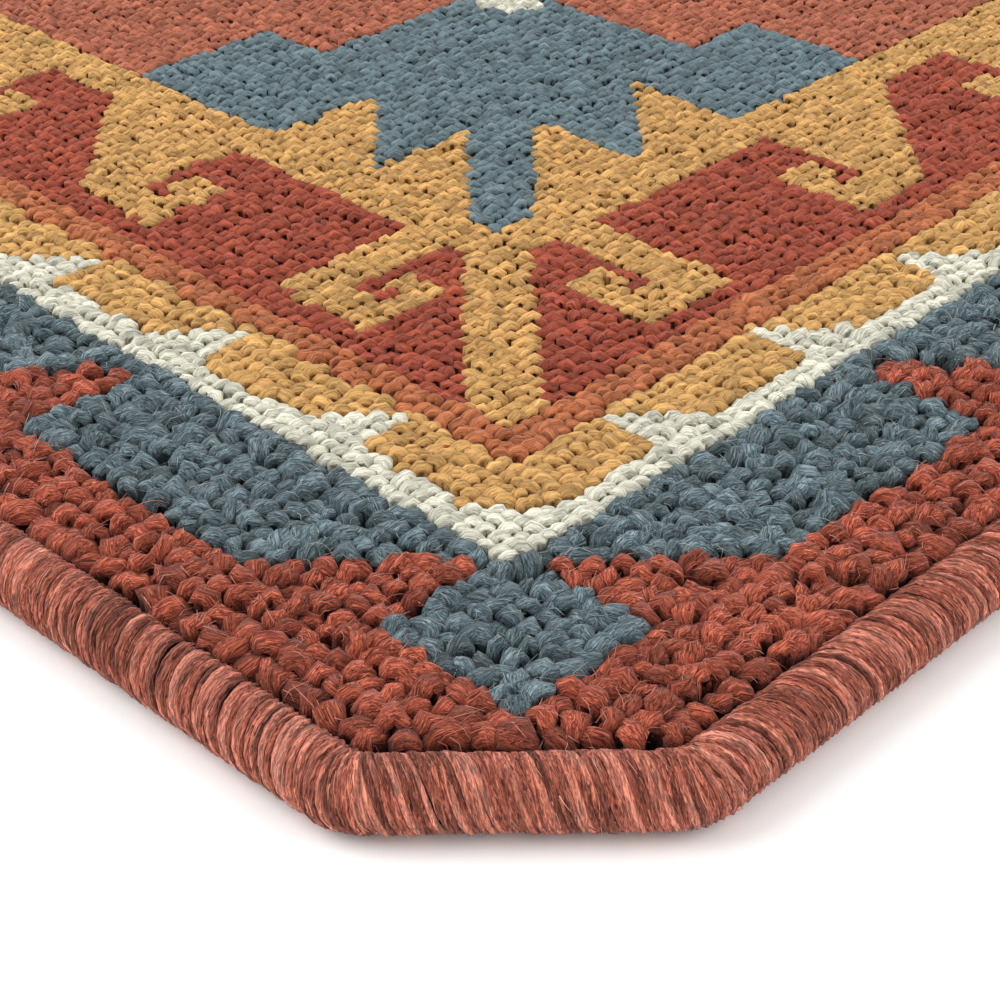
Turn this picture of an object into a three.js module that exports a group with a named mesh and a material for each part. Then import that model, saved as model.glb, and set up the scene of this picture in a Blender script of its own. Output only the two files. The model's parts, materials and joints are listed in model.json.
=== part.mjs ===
// Hooked wool rug: a patterned loop pile on a woven backing, with a corded, overcast edge.
// Millimetres, +Z up. The origin is on the floor under the middle of the rug.
// The pattern is drawn in stitches, one stitch being one loop of the pile. A point of a quarter of it
// is [s, t]: s counts from the short end of the rug, t from its long side.
import * as THREE from 'three';

// driving dimensions
const stitch = 3.5;
const halfWidth = 87;              // stitches from the middle to a long side (609 mm wide)
const halfLength = 131;            // stitches from the middle to a short end (917 mm long)
const yarnGap = 0.3;               // gap between neighbouring colour areas

// layers, from the floor up
const backingTop = 1.4;
const latexTop = 2.4;
const clothTop = 3.2;
const pileTop = 13;

// rim
const rimDiameter = 12;
const cordDiameter = 7.8;
const sleeveBore = 8.4;
const cornerCut = 37.5;            // leg of the cut-off corner, along the outer edge
const cornerBend = 13;             // radius of the outer edge at each end of the cut
const tightestBend = 1;            // radius of the layers that lie further in
const bendSteps = 3;
const rimSides = 10;
const cordSides = 8;
const mouthFrom = -48;             // the sleeve's mouth, in degrees from level, where the cloth goes in
const mouthTo = -22;

// distances of each layer's edge from the outer edge of the rug
const backingInset = 10.4;
const latexInset = 10.7;
const clothInset = 9.8;
const pileInset = 12.3;

// pattern lines, in stitches from the outer edge
const guardLine = 8;
const ivoryLine = 16;
const toothLine = 18;
const orangeLine = 22;
const brickLine = 24;
const hookLine = 26;
const frameLine = 36;
const fieldLine = 39;

// repeats, in stitches
const tabPeriod = 24;
const squareLine = 8.6;            // the corner square's outer sides
const squareCut = 0.3;
const squareEnd = 16.8;
const notchStart = 17;
const notchDepth = 7;
const toothPeriod = 12;
const toothStart = 28;
const toothDepth = 3.3;
const toothRun = 4;
const toothCornerCut = 2.5;
const stemHalf = 2.7;
const firstArm = 7;
const endHooks = { first: 36, next: 54, period: 18, count: 3 };
const sideHooks = { first: 37, next: 56, period: 19, count: 5 };

// one hook, in stitches: across from its outer line, and along from its tip
const hookShape = {
  bar: 3,              // across, to the gap inside the curl
  gapStep: 4,          // across, to the gap's wide part
  tipReach: 6,         // across, to the end of the tip
  gapStart: 2,         // along, to the gap's narrow part
  tipWidth: 3,         // along, to the gap's wide part
  gapBack: 4,          // along, to the back of the gap
  slantStart: 6        // along, to the start of a slanted back
};

// inner edge of the frame at the corner: two flames along the short end, two along the long side
const endFlames = [
  [fieldLine, 41], [48, 50], [40, 50], [48, 58], [fieldLine, 58]
];
const sideFlames = [
  [42, fieldLine], [52, 48], [52, 40], [53, 40], [61, 48], [61, fieldLine]
];

// blue motif in the corner of the field
const corner = {
  wing: 11,            // width of the wing at the short end, measured from the field line
  sideWing: 9.5,       // width of the wing along the long side
  wingEnd: 71,
  sideWingEnd: 74,
  step: 65.5,
  sideStep: 68
};

// ivory spot where the motif meets the medallion: a blunt arrow head that points to the corner
const spot = { apex: 126, shoulder: 127.5, offset: 1.2, shoulderHalf: 1.7, baseHalf: 1.34 };

// medallion: half lengths (tip to middle) and half widths of its hexagons, and their steps
const medallionSpan = 88;
const medallion = {
  ivoryLine: { inSpan: 1.5, inSide: 1 },
  brickField: { inSpan: 6, inSide: 4 },
  goldSteps: { span: 70, side: 32, step: 4 },
  blueSteps: { span: 62, side: 28, step: 4 },
  innerIvory: { span: 46, side: 20 },
  innerRust: { span: 42, side: 18 },
  goldHeart: { span: 24, side: 12, step: 3 },
  blueHeart: { span: 12, side: 6, step: 3 }
};
const medallionSum = halfWidth + halfLength - medallionSpan;   // s + t along its slanted sides

const yarn = {
  rust: '#96503f',
  blue: '#5a6c74',
  ivory: '#ddd9c5',
  gold: '#b98a50',
  orange: '#a5643f',
  brick: '#9a4f42',
  rustField: '#9f5a48',
  rim: '#9b5a48',
  cord: '#5c3628',
  cloth: '#c9bb9b',
  latex: '#d8d2c0',
  backing: '#b9a98a'
};

const rug = new THREE.Group();

function addMesh(name, geometry, colour, roughness) {
  const material = new THREE.MeshStandardMaterial({ color: colour, roughness: roughness, metalness: 0 });
  const mesh = new THREE.Mesh(geometry, material);
  mesh.name = name;
  rug.add(mesh);
}

// ---- outlines

function signedArea(points) {
  let area = 0;
  points.forEach((p, i) => {
    const q = points[(i + 1) % points.length];
    area += (p[0] * q[1] - q[0] * p[1]) / 2;
  });
  return area;
}

// drops repeated points and points in the middle of a straight stretch, and turns the outline anticlockwise
function cleaned(points) {
  const same = (p, q) => Math.hypot(p[0] - q[0], p[1] - q[1]) < 1e-6;
  const apart = points.filter((p, i) => !same(p, points[(i + 1) % points.length]));
  const corners = apart.filter((p, i) => {
    const before = apart[(i + apart.length - 1) % apart.length];
    const after = apart[(i + 1) % apart.length];
    const cross = (p[0] - before[0]) * (after[1] - p[1]) - (p[1] - before[1]) * (after[0] - p[0]);
    return Math.abs(cross) > 1e-6;
  });
  return signedArea(corners) > 0 ? corners : corners.reverse();
}

// moves every side of an anticlockwise outline inwards by the distance
function inset(points, distance) {
  return points.map((p, i) => {
    const before = points[(i + points.length - 1) % points.length];
    const after = points[(i + 1) % points.length];
    const inLength = Math.hypot(p[0] - before[0], p[1] - before[1]);
    const outLength = Math.hypot(after[0] - p[0], after[1] - p[1]);
    const n1 = [-(p[1] - before[1]) / inLength, (p[0] - before[0]) / inLength];
    const n2 = [-(after[1] - p[1]) / outLength, (after[0] - p[0]) / outLength];
    const scale = distance / (1 + n1[0] * n2[0] + n1[1] * n2[1]);
    return [p[0] + (n1[0] + n2[0]) * scale, p[1] + (n1[1] + n2[1]) * scale];
  });
}

// quarter points [s, t] to millimetres in the quarter with these signs
function placed(points, signX, signY) {
  return points.map(([s, t]) => [signX * (halfWidth - t) * stitch, signY * (halfLength - s) * stitch]);
}

// a quarter, from the middle of a short end to the middle of a long side, mirrored to all four corners
function allRound(quarter) {
  return cleaned([
    ...placed(quarter, 1, -1),
    ...placed(quarter, 1, 1).reverse(),
    ...placed(quarter, -1, 1),
    ...placed(quarter, -1, -1).reverse()
  ]);
}

// half of an area at a short end or at a long side, mirrored about the rug's middle line
function atEnd(half, signY) {
  return cleaned([...placed(half, 1, signY), ...placed(half, -1, signY).reverse()]);
}

function atSide(half, signX) {
  return cleaned([...placed(half, signX, -1), ...placed(half, signX, 1).reverse()]);
}

function swapped(points) {
  return points.map(([s, t]) => [t, s]);
}

// a plain rectangle, as a quarter
function lineAt(distance) {
  return [[distance, halfWidth], [distance, distance], [halfLength, distance]];
}

// the rim's outline at a distance inside the outer edge: straight sides, cut corners with round bends
function rimOutline(distance) {
  const x = halfWidth * stitch - distance;
  const y = halfLength * stitch - distance;
  const leg = cornerCut - distance * (2 - Math.SQRT2);
  const radius = Math.max(cornerBend - distance, tightestBend);
  const tangent = radius * Math.tan(Math.PI / 8);
  const points = [];
  const bend = (cx, cy, from) => {
    for (let i = 0; i <= bendSteps; i++) {
      const angle = from + (i / bendSteps) * Math.PI / 4;
      points.push([cx + radius * Math.cos(angle), cy + radius * Math.sin(angle)]);
    }
  };
  const slant = tangent * Math.SQRT1_2;
  const inner = radius * Math.SQRT1_2;
  bend(x - radius, y - leg - tangent, 0);
  bend(x - leg + slant - inner, y - slant - inner, Math.PI / 4);
  const quarter = points.slice();
  const left = quarter.map(([px, py]) => [-px, py]).reverse();
  const opposite = [...quarter, ...left].map(([px, py]) => [-px, -py]);
  return [...quarter, ...left, ...opposite];
}

// ---- solids

function slab(outer, hole, bottom, top) {
  const shape = new THREE.Shape(outer.map(p => new THREE.Vector2(p[0], p[1])));
  if (hole) {
    shape.holes.push(new THREE.Path(hole.map(p => new THREE.Vector2(p[0], p[1]))));
  }
  const depth = top - bottom;
  const geometry = new THREE.ExtrudeGeometry(shape, { depth: depth, bevelEnabled: false, curveSegments: 1 });
  geometry.translate(0, 0, bottom);
  return geometry;
}

// one colour area of the pile, drawn half a gap small all round
function addPile(name, colour, outer, hole) {
  const outside = inset(outer, yarnGap / 2);
  const inside = hole ? inset(hole, -yarnGap / 2) : null;
  addMesh(name, slab(outside, inside, clothTop, pileTop), colour, 0.95);
}

// a closed section [distance from the outer edge, height], carried right round the rim
function carriedRound(section) {
  const rings = section.map(([distance]) => rimOutline(distance));
  const around = rings[0].length;
  const positions = [];
  const faces = [];
  rings.forEach((ring, k) => ring.forEach(p => positions.push(p[0], p[1], section[k][1])));
  for (let k = 0; k < section.length; k++) {
    const next = (k + 1) % section.length;
    for (let j = 0; j < around; j++) {
      const after = (j + 1) % around;
      faces.push(k * around + j, next * around + after, k * around + after);
      faces.push(k * around + j, next * around + j, next * around + after);
    }
  }
  const geometry = new THREE.BufferGeometry();
  geometry.setAttribute('position', new THREE.Float32BufferAttribute(positions, 3));
  geometry.setIndex(faces);
  geometry.computeVertexNormals();
  return geometry;
}

// points of an arc about the rim's middle, from the inner side of the rug, up and over
function rimArc(radius, from, to, steps) {
  const middle = rimDiameter / 2;
  const points = [];
  for (let i = 0; i <= steps; i++) {
    const angle = THREE.MathUtils.degToRad(from + (to - from) * i / steps);
    points.push([middle + radius * Math.cos(angle), middle + radius * Math.sin(angle)]);
  }
  return points;
}

// ---- backing

function addBacking() {
  addMesh('secondary_backing', slab(rimOutline(backingInset), null, 0, backingTop), yarn.backing, 0.95);
  addMesh('latex_coat', slab(rimOutline(latexInset), null, backingTop, latexTop), yarn.latex, 0.7);
  addMesh('primary_backing', slab(rimOutline(clothInset), null, latexTop, clothTop), yarn.cloth, 0.95);
}

// ---- rim: a cord, and the overcast yarn as a sleeve that is open where the cloth goes in

function addRim() {
  const cord = rimArc(cordDiameter / 2, 0, 360, cordSides).slice(1);
  addMesh('edge_cord', carriedRound(cord), yarn.cord, 0.9);
  const over = rimArc(rimDiameter / 2, mouthTo, mouthFrom + 360, rimSides);
  const under = rimArc(sleeveBore / 2, mouthFrom + 360, mouthTo, rimSides);
  addMesh('edge_serging', carriedRound([...over, ...under]), yarn.rim, 0.9);
}

// ---- pile: the rings round the field

// the guard band's outer line: a square at the corner, then tabs with a slanted end towards the corner
function guardEdge(half) {
  const tip = guardLine + notchDepth;
  const points = [[squareLine, squareLine + squareCut]];
  points.push([squareLine, squareEnd], [tip, squareEnd], [tip, notchStart + 1]);
  points.push([guardLine, notchStart + 1 + notchDepth]);
  for (let at = notchStart + tabPeriod; at + notchDepth < half; at += tabPeriod) {
    points.push([guardLine, at], [tip, at], [tip, at + 1], [guardLine, at + 1 + notchDepth]);
  }
  points.push([guardLine, half]);
  return points;
}

// the ivory line's inner side: small teeth with their flat side towards the corner
function toothEdge(half) {
  const tip = toothLine + toothDepth;
  const points = [[toothLine, toothLine + toothCornerCut]];
  for (let at = toothStart; at + toothRun < half; at += toothPeriod) {
    points.push([toothLine, at], [tip, at], [tip, at + toothRun - toothDepth], [toothLine, at + toothRun]);
  }
  points.push([toothLine, half]);
  return points;
}

function quarterFrom(endHalf, sideHalf) {
  return [...endHalf.slice().reverse(), ...swapped(sideHalf)];
}

function addRings() {
  const guard = allRound(quarterFrom(guardEdge(halfWidth), guardEdge(halfLength)));
  const ivory = allRound(lineAt(ivoryLine));
  const teeth = allRound(quarterFrom(toothEdge(halfWidth), toothEdge(halfLength)));
  const orange = allRound(lineAt(orangeLine));
  const brick = allRound(lineAt(brickLine));
  addPile('border_pile_rust', yarn.rust, cleaned(rimOutline(pileInset - yarnGap / 2)), guard);
  addPile('guard_pile_blue', yarn.blue, guard, ivory);
  addPile('line_pile_ivory', yarn.ivory, ivory, teeth);
  addPile('tooth_pile_gold', yarn.gold, teeth, orange);
  addPile('line_pile_orange', yarn.orange, orange, brick);
}

// ---- pile: gold frame and the brick runs behind its hooks

// one hook, as [across, along] with its mouth towards the corner; a slanted back runs out to the frame
function hook(at, slanted) {
  const { bar, gapStep, tipReach, gapStart, tipWidth, gapBack, slantStart } = hookShape;
  const curl = [
    [frameLine, at + gapBack], [hookLine + bar, at + gapBack], [hookLine + bar, at + gapStart],
    [hookLine + gapStep, at + gapStart], [hookLine + gapStep, at + tipWidth],
    [hookLine + tipReach, at + tipWidth], [hookLine + tipReach, at], [hookLine, at]
  ];
  if (slanted) {
    return [...curl, [hookLine, at + slantStart], [frameLine, at + slantStart + frameLine - hookLine]];
  }
  return [...curl, [hookLine, at + firstArm], [frameLine, at + firstArm]];
}

// the frame's outer line along one side: up the stem, then hook after hook to the middle
function frameEdge(hooks, half) {
  const points = [[brickLine, brickLine + stemHalf], [frameLine, frameLine + stemHalf]];
  points.push(...hook(hooks.first, false));
  for (let i = 0; i + 1 < hooks.count; i++) {
    points.push(...hook(hooks.next + i * hooks.period, true));
  }
  const last = points.pop();
  const past = last[1] - half;
  if (past > 0) {
    points.push([last[0] - past, half]);
  } else {
    points.push(last, [frameLine, half]);
  }
  return points;
}

function addFrame() {
  const endEdge = frameEdge(endHooks, halfWidth);
  const sideEdge = frameEdge(sideHooks, halfLength);
  const outer = allRound([...endEdge.slice().reverse(), [brickLine, brickLine], ...swapped(sideEdge)]);
  const inner = allRound([
    [fieldLine, halfWidth], ...endFlames.slice().reverse(), [fieldLine, fieldLine],
    ...sideFlames, [halfLength, fieldLine]
  ]);
  addPile('frame_pile_gold', yarn.gold, outer, inner);
  const endHalf = [...endEdge, [brickLine, halfWidth]];
  const sideHalf = [...swapped(sideEdge), [halfLength, brickLine]];
  [['near', -1], ['far', 1]].forEach(([place, sign]) => {
    addPile('brick_run_' + place, yarn.brick, atEnd(openAtMiddle(endHalf), sign));
  });
  [['left', -1], ['right', 1]].forEach(([place, sign]) => {
    addPile('brick_run_' + place, yarn.brick, atSide(openAtMiddle(sideHalf), sign));
  });
}

// a half outline that starts at the corner and ends on the middle line, turned to start on the middle line
function openAtMiddle(half) {
  const [foot, ...rest] = half;
  const close = rest.pop();
  return [close, foot, ...rest];
}

// ---- pile: corner motifs and the rust areas between them and the medallion

const corners = [['near_left', -1, -1], ['near_right', 1, -1], ['far_left', -1, 1], ['far_right', 1, 1]];

// the motif's inner line along the wing at the short end, and along the one at the long side
const endWing = [
  [fieldLine, corner.wingEnd],
  [fieldLine + corner.wing, corner.wingEnd],
  [fieldLine + corner.wing, corner.step],
  [medallionSum - corner.step, corner.step]
];
const sideWing = [
  [corner.sideStep, medallionSum - corner.sideStep],
  [corner.sideStep, fieldLine + corner.sideWing],
  [corner.sideWingEnd, fieldLine + corner.sideWing],
  [corner.sideWingEnd, fieldLine]
];

// the spot's outline, from its base on the medallion's side round its point and back to the base
function spotOutline() {
  const across = (sum, half) => [sum / 2 + spot.offset - half, sum / 2 - spot.offset + half];
  return [
    across(medallionSum, spot.baseHalf), across(spot.shoulder, spot.shoulderHalf), across(spot.apex, 0),
    across(spot.shoulder, -spot.shoulderHalf), across(medallionSum, -spot.baseHalf)
  ];
}

function addCorners() {
  const ivory = spotOutline();
  const quarter = [
    ...endWing, ...ivory, ...sideWing, ...sideFlames.slice().reverse(), [fieldLine, fieldLine], ...endFlames
  ];
  corners.forEach(([place, signX, signY]) => {
    addPile('corner_pile_blue_' + place, yarn.blue, cleaned(placed(quarter, signX, signY)));
    addPile('corner_spot_ivory_' + place, yarn.ivory, cleaned(placed(ivory, signX, signY)));
  });
}

function addRustAreas() {
  const endHalf = [[fieldLine, halfWidth], ...endWing, [halfLength - medallionSpan, halfWidth]];
  [['near', -1], ['far', 1]].forEach(([place, sign]) => {
    addPile('rust_field_' + place, yarn.rustField, atEnd(endHalf, sign));
  });
  const sideArea = [...sideWing, [medallionSum - fieldLine, fieldLine]];
  corners.forEach(([place, signX, signY]) => {
    addPile('rust_field_' + place, yarn.rustField, cleaned(placed(sideArea, signX, signY)));
  });
}

// ---- pile: medallion

// a hexagon with 45 degree ends, half length and half width in stitches
function hexagon({ span, side }) {
  const points = [[side, span - side], [0, span], [-side, span - side]];
  return cleaned([...points, ...points.map(([x, y]) => [-x, -y])].map(([x, y]) => [x * stitch, y * stitch]));
}

// the same with its ends cut into steps
function steppedHexagon({ span, side, step }) {
  const quarter = [[side, 0]];
  for (let x = side; x > 0; x -= step) {
    quarter.push([x, span - x], [Math.max(x - step, 0), span - x]);
  }
  const points = [
    ...quarter,
    ...quarter.map(([x, y]) => [-x, y]).reverse(),
    ...quarter.map(([x, y]) => [-x, -y]),
    ...quarter.map(([x, y]) => [x, -y]).reverse()
  ];
  return cleaned(points.map(([x, y]) => [x * stitch, y * stitch]));
}

function addMedallion() {
  const side = halfWidth - fieldLine;
  const within = ({ inSpan, inSide }) => hexagon({ span: medallionSpan - inSpan, side: side - inSide });
  const areas = [
    ['medallion_outline_blue', yarn.blue, hexagon({ span: medallionSpan, side: side })],
    ['medallion_line_ivory', yarn.ivory, within(medallion.ivoryLine)],
    ['medallion_field_brick', yarn.brick, within(medallion.brickField)],
    ['medallion_steps_gold', yarn.gold, steppedHexagon(medallion.goldSteps)],
    ['medallion_steps_blue', yarn.blue, steppedHexagon(medallion.blueSteps)],
    ['medallion_inner_ivory', yarn.ivory, hexagon(medallion.innerIvory)],
    ['medallion_inner_rust', yarn.rustField, hexagon(medallion.innerRust)],
    ['medallion_heart_gold', yarn.gold, steppedHexagon(medallion.goldHeart)],
    ['medallion_heart_blue', yarn.blue, steppedHexagon(medallion.blueHeart)]
  ];
  areas.forEach(([name, colour, outline], i) => {
    const inside = i + 1 < areas.length ? areas[i + 1][2] : null;
    addPile(name, colour, outline, inside);
  });
}

addBacking();
addRim();
addRings();
addFrame();
addCorners();
addRustAreas();
addMedallion();

export default rug;
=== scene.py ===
import json
import math

import bpy
import numpy as np
from mathutils import Euler, Matrix, Vector
from mathutils.bvhtree import BVHTree


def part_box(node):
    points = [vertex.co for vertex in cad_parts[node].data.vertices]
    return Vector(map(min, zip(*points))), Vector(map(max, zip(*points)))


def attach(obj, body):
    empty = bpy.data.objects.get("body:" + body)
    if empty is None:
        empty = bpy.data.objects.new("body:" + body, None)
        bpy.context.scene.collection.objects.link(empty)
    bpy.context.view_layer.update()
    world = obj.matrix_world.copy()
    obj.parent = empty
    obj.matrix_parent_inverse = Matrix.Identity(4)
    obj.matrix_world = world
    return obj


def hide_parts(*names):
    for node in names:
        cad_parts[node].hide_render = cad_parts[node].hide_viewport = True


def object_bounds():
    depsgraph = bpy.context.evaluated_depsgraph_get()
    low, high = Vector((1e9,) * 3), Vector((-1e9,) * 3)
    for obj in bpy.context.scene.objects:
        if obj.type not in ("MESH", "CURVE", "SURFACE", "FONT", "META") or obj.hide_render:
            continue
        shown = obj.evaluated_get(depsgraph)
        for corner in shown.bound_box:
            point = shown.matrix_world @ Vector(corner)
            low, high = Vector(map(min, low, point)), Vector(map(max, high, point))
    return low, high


# A hooked wool rug: thousands of yarn loops over a woven backing, with an overcast cord round the edge.
# Everything is in metres. The outline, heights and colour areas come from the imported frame.

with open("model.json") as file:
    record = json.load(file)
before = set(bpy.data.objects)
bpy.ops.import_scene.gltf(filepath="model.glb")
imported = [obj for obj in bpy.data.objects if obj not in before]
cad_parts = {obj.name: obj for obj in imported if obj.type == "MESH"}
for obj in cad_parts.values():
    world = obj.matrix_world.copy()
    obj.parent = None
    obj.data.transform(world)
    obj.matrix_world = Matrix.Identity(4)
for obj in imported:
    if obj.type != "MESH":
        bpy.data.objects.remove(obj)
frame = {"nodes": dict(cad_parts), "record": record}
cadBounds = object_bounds()
low, high = cadBounds
nodes = frame["nodes"]
slotOfNode = {part["node"]: part["material_slot"] for part in frame["record"]["subparts"]}
chance = np.random.default_rng(41)
print("frame loaded:", len(nodes), "nodes")

mm = 0.001
rug = {
    "stitch": 3.5 * mm,         # one stitch of the canvas
    "rimDiameter": 12 * mm,
    "cornerCut": 37.5 * mm,     # leg of the cut-off corner, along the outer edge
    "cornerBend": 13 * mm,      # radius of the outer edge at each end of the cut
    "tightestBend": 1 * mm,     # radius of the layers that lie further in
    "bulkyRows": 12,            # rows of bulky loops between the rim and the ivory line
    "ivoryLine": 16,            # stitches from the outer edge to the fine pile
    "bandLine": 24,             # stitches from the outer edge to the inside of the narrow bands
    "fineStitch": 0.8,          # fine loops are this share of a stitch apart
}
halfWidth = (high.x - low.x) / 2
halfLength = (high.y - low.y) / 2
pileNodes = [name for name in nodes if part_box(name)[1].z > 12.5 * mm]
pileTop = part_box("border_pile_rust")[1].z
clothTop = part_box("primary_backing")[1].z
pileInset = high.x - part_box("border_pile_rust")[1].x


# The rug's outline moved in by a distance: four corners, each cut off at 45 degrees between two bends.
def outline(inset, bendSteps=24):
    x = halfWidth - inset
    y = halfLength - inset
    leg = rug["cornerCut"] - inset * (2 - math.sqrt(2))
    radius = max(rug["cornerBend"] - inset, rug["tightestBend"])
    tangent = radius * math.tan(math.pi / 8)
    slant = tangent * math.sqrt(0.5)
    inner = radius * math.sqrt(0.5)
    turn = np.linspace(0, math.pi / 4, bendSteps + 1)
    first = np.stack([x - radius + radius * np.cos(turn), y - leg - tangent + radius * np.sin(turn)], 1)
    turn = turn + math.pi / 4
    centreX = x - leg + slant - inner
    centreY = y - slant - inner
    second = np.stack([centreX + radius * np.cos(turn), centreY + radius * np.sin(turn)], 1)
    quarter = np.concatenate([first, second])
    return np.concatenate([
        quarter,
        quarter[::-1] * (-1, 1),
        quarter * (-1, -1),
        quarter[::-1] * (1, -1),
    ])


def lengthOf(path):
    steps = np.linalg.norm(np.roll(path, -1, 0) - path, axis=1)
    return float(steps.sum())


# Points at the given distances along a closed path, and the outward direction at each.
def alongPath(path, distances):
    closed = np.concatenate([path, path[:1]])
    reach = np.concatenate([[0], np.cumsum(np.linalg.norm(np.diff(closed, axis=0), axis=1))])
    whole = reach[-1]

    def at(d):
        d = np.mod(d, whole)
        return np.stack([np.interp(d, reach, closed[:, 0]), np.interp(d, reach, closed[:, 1])], -1)

    ahead = at(distances + 0.4 * mm) - at(distances - 0.4 * mm)
    ahead /= np.linalg.norm(ahead, axis=-1, keepdims=True)
    outward = np.stack([ahead[..., 1], -ahead[..., 0]], -1)
    return at(distances), outward, ahead


# How far each point is inside the outline moved in by a distance; the bends are taken as sharp.
def depthInside(points, inset):
    x = np.abs(points[:, 0])
    y = np.abs(points[:, 1])
    leg = rug["cornerCut"] - inset * (2 - math.sqrt(2))
    fromSide = halfWidth - inset - x
    fromEnd = halfLength - inset - y
    fromCut = (fromSide + fromEnd - leg) * math.sqrt(0.5)
    return np.minimum(np.minimum(fromSide, fromEnd), fromCut)


# The outward direction at each point, square to the nearest side or to the cut-off corner.
def outwardAt(points):
    step = 0.1 * mm
    change = [
        depthInside(points - step * axis, 0) - depthInside(points + step * axis, 0)
        for axis in np.eye(2)
    ]
    found = np.stack(change, -1)
    return found / np.maximum(np.linalg.norm(found, axis=-1, keepdims=True), 1e-9)


# points is (strands, rings, sides, 3). Each strand is a tube with its own place on the texture map,
# capped at both ends, or closed on itself.
def strandMesh(name, points, grain, tone, height, closed=False, ringsPerCell=None):
    count, rings, sides, _ = points.shape
    index = np.arange(count * rings * sides).reshape(count, rings, sides)
    if closed:
        here = index
        there = np.roll(index, -1, 1)
    else:
        here = index[:, :-1]
        there = index[:, 1:]
    quads = np.stack([here, there, np.roll(there, -1, 2), np.roll(here, -1, 2)], -1)
    steps = quads.shape[1]

    ringsPerCell = ringsPerCell or steps
    cellOfStep = np.arange(count * steps) // ringsPerCell
    cells = int(cellOfStep[-1]) + 1
    across = math.ceil(math.sqrt(cells))
    stepInCell = np.arange(count * steps) % ringsPerCell
    side = np.arange(sides)
    u = np.stack([side, side, side + 1, side + 1], -1)[None] / sides
    v = (stepInCell[:, None] + np.array([0, 1, 1, 0])) / ringsPerCell
    u = 0.05 + 0.9 * np.broadcast_to(u, (count * steps, sides, 4))
    v = 0.04 + 0.8 * np.broadcast_to(v[:, None], (count * steps, sides, 4))
    corner = np.stack([cellOfStep % across, cellOfStep // across], -1)[:, None, None]
    quadPlaces = (np.stack([u, v], -1) + corner) / across

    corners = [quads.reshape(-1)]
    totals = [np.full(quads.size // 4, 4)]
    places = [quadPlaces.reshape(-1, 2)]
    if not closed:
        turn = 2 * math.pi * side / sides
        disc = 0.05 * np.stack([np.cos(turn), np.sin(turn)], -1)
        cell = np.stack([np.arange(count) % across, np.arange(count) // across], -1)[:, None]
        for ring, at, step in ((0, 0.25, 1), (rings - 1, 0.75, -1)):
            corners.append(index[:, ring, ::step].reshape(-1))
            totals.append(np.full(count, sides))
            places.append(((disc + (at, 0.92))[None] + cell).reshape(-1, 2) / across)
    corners = np.concatenate(corners).astype(np.int32)
    totals = np.concatenate(totals).astype(np.int32)
    starts = np.concatenate([[0], np.cumsum(totals)[:-1]]).astype(np.int32)

    mesh = bpy.data.meshes.new(name)
    mesh.vertices.add(index.size)
    mesh.vertices.foreach_set("co", points.astype(np.float32).ravel())
    mesh.loops.add(len(corners))
    mesh.loops.foreach_set("vertex_index", corners)
    mesh.polygons.add(len(totals))
    mesh.polygons.foreach_set("loop_start", starts)
    mesh.polygons.foreach_set("loop_total", totals)
    mesh.polygons.foreach_set("use_smooth", np.ones(len(totals), bool))
    mesh.uv_layers.new(name="OFBake", do_init=False)
    mesh.uv_layers["OFBake"].uv.foreach_set("vector", np.concatenate(places).astype(np.float32).ravel())
    for label, kind, field, values in (
        ("grain", "FLOAT_VECTOR", "vector", grain),
        ("tone", "FLOAT", "value", tone),
        ("height", "FLOAT", "value", height),
    ):
        layer = mesh.attributes.new(label, kind, "POINT")
        layer.data.foreach_set(field, values.astype(np.float32).ravel())
    mesh.update()
    mesh.validate()
    thing = bpy.data.objects.new(name, mesh)
    bpy.context.scene.collection.objects.link(thing)
    return thing


def linear(red, green, blue):
    def one(value):
        value = value / 255
        return value / 12.92 if value <= 0.04045 else ((value + 0.055) / 1.055) ** 2.4
    return (one(red), one(green), one(blue), 1)


def link(tree, start, end):
    tree.links.new(start, end)


def addNode(tree, kind, **settings):
    made = tree.nodes.new(kind)
    for key, value in settings.items():
        setattr(made, key, value)
    return made


def noise(tree, vector, scale, stretch, detail=2, rough=0.5, waver=0):
    spread = addNode(tree, "ShaderNodeMapping")
    spread.inputs["Scale"].default_value = stretch
    link(tree, vector, spread.inputs["Vector"])
    made = addNode(tree, "ShaderNodeTexNoise")
    made.inputs["Scale"].default_value = scale
    made.inputs["Detail"].default_value = detail
    made.inputs["Roughness"].default_value = rough
    made.inputs["Distortion"].default_value = waver
    link(tree, spread.outputs[0], made.inputs["Vector"])
    return made.outputs["Fac"]


def ramp(tree, value, *stops):
    made = addNode(tree, "ShaderNodeValToRGB")
    while len(made.color_ramp.elements) < len(stops):
        made.color_ramp.elements.new(0.5)
    for element, (place, shade) in zip(made.color_ramp.elements, stops):
        element.position = place
        element.color = shade if hasattr(shade, "__len__") else (shade, shade, shade, 1)
    link(tree, value, made.inputs[0])
    return made.outputs[0]


def mix(tree, how, amount, first, second):
    made = addNode(tree, "ShaderNodeMix", data_type="RGBA", blend_type=how)
    for socket, value in (("Factor_Float", amount), ("A_Color", first), ("B_Color", second)):
        found = next(s for s in made.inputs if s.identifier == socket)
        if isinstance(value, bpy.types.NodeSocket):
            link(tree, value, found)
        else:
            found.default_value = value
    return next(s for s in made.outputs if s.identifier == "Result_Color")


def sums(tree, how, first, second):
    made = addNode(tree, "ShaderNodeMath", operation=how)
    for socket, value in zip(made.inputs, (first, second)):
        if isinstance(value, bpy.types.NodeSocket):
            link(tree, value, socket)
        else:
            socket.default_value = value
    return made.outputs[0]


def newMaterial(name):
    made = bpy.data.materials.new(name)
    made.use_nodes = True
    tree = made.node_tree
    return made, tree, tree.nodes["Principled BSDF"]


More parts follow.
